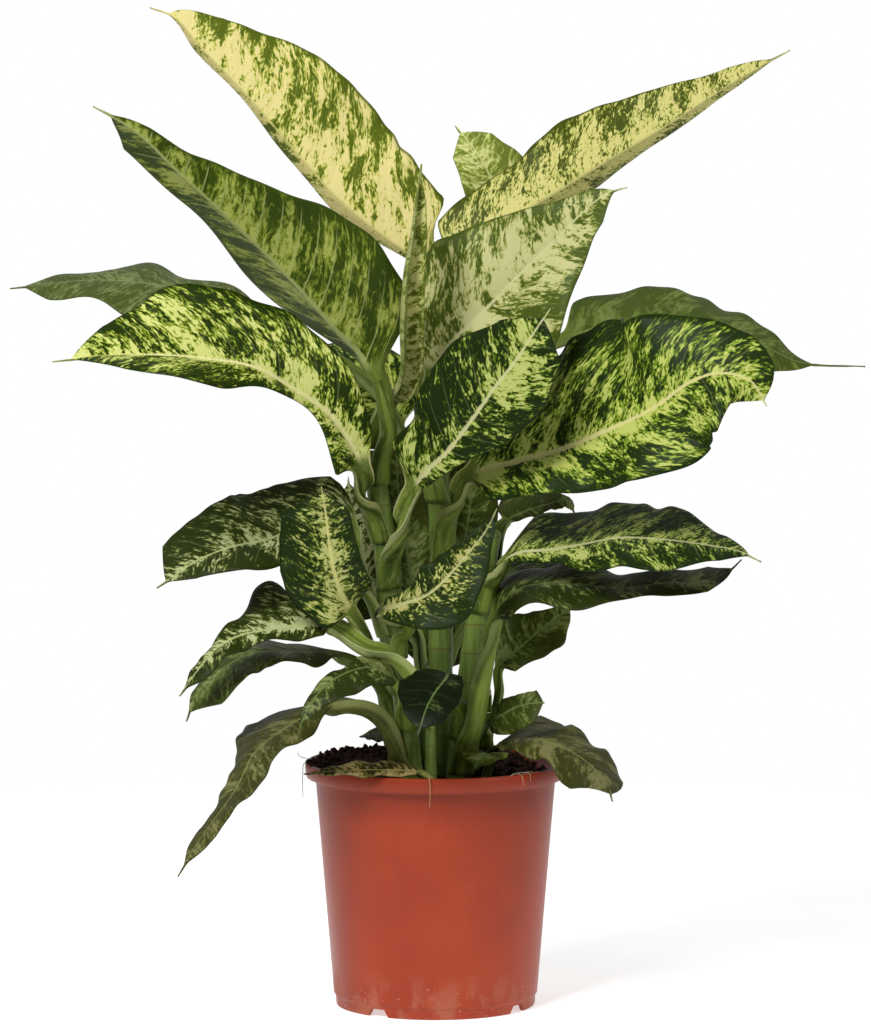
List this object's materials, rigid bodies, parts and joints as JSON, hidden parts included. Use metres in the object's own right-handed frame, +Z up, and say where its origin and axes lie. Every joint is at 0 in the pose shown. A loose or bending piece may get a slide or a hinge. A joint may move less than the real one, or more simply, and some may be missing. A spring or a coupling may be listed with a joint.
{
  "type": "potted dieffenbachia",
  "caption": "House plant with large waved, cream and green marbled leaves on upright canes, growing in a round tapered plastic nursery pot filled with potting soil.",
  "frame": {"origin": "bottom centre of the whole plant's box: the middle of the pot's foot, on the surface it stands on", "axes": "+Z up along the pot's axis, -Y towards the viewer's side of the plant, +X to the viewer's right"},
  "size_m": [0.5703, 0.3054, 0.6487],
  "materials": {
    "pot": "satin moulded terracotta-coloured plastic, lightly scuffed near the foot",
    "soil": "rough, crumbly dark peat and bark",
    "cane": "satin green stem with faint ring scars",
    "leaf_cream": "satin waxy leaf, cream with green flecks and green margin",
    "leaf_lime": "satin waxy leaf, green with lime streaks between the side veins",
    "leaf_green": "satin waxy leaf, deep green with a paler midrib"
  },
  "bodies": {
    "root": {"pot": "pot", "soil": "soil", "cane_left": "cane", "cane_centre": "cane", "cane_right": "cane", "cane_front_left": "cane", "cane_front_thin": "cane", "cane_small_right": "cane", "cane_back": "cane", "leaf_cream_left": "leaf_cream", "leaf_olive_left": "leaf_green", "leaf_far_left": "leaf_green", "leaf_big_left": "leaf_lime", "leaf_spear": "leaf_lime", "leaf_top_back": "leaf_lime", "leaf_cream_right": "leaf_cream", "leaf_pale_centre": "leaf_cream", "leaf_right_back": "leaf_green", "leaf_big_right": "leaf_lime", "leaf_centre_front": "leaf_green", "leaf_mid_left": "leaf_green", "leaf_front_up_left": "leaf_lime", "leaf_front_up_right": "leaf_green", "leaf_low_left_upper": "leaf_green", "leaf_low_left_lower": "leaf_green", "leaf_front_small": "leaf_green", "leaf_front_dark": "leaf_green", "leaf_droop_left": "leaf_green", "leaf_right_shelf": "leaf_lime", "leaf_right_under": "leaf_green", "leaf_right_small": "leaf_green", "leaf_right_round": "leaf_green", "leaf_rim_droop": "leaf_green", "leaf_soil_small": "leaf_green", "leaf_old_on_rim": "leaf_lime", "leaf_back_tip": "leaf_green", "leaf_under_right": "leaf_green", "leaf_new_shoot": "leaf_lime", "leaf_inner_left": "leaf_green", "leaf_inner_right": "leaf_green", "leaf_back_high": "leaf_green", "leaf_back_left": "leaf_green", "leaf_back_right": "leaf_green", "leaf_back_low_left": "leaf_green", "leaf_back_low_right": "leaf_green", "leaf_back_low": "leaf_green"}
  },
  "joints": []
}
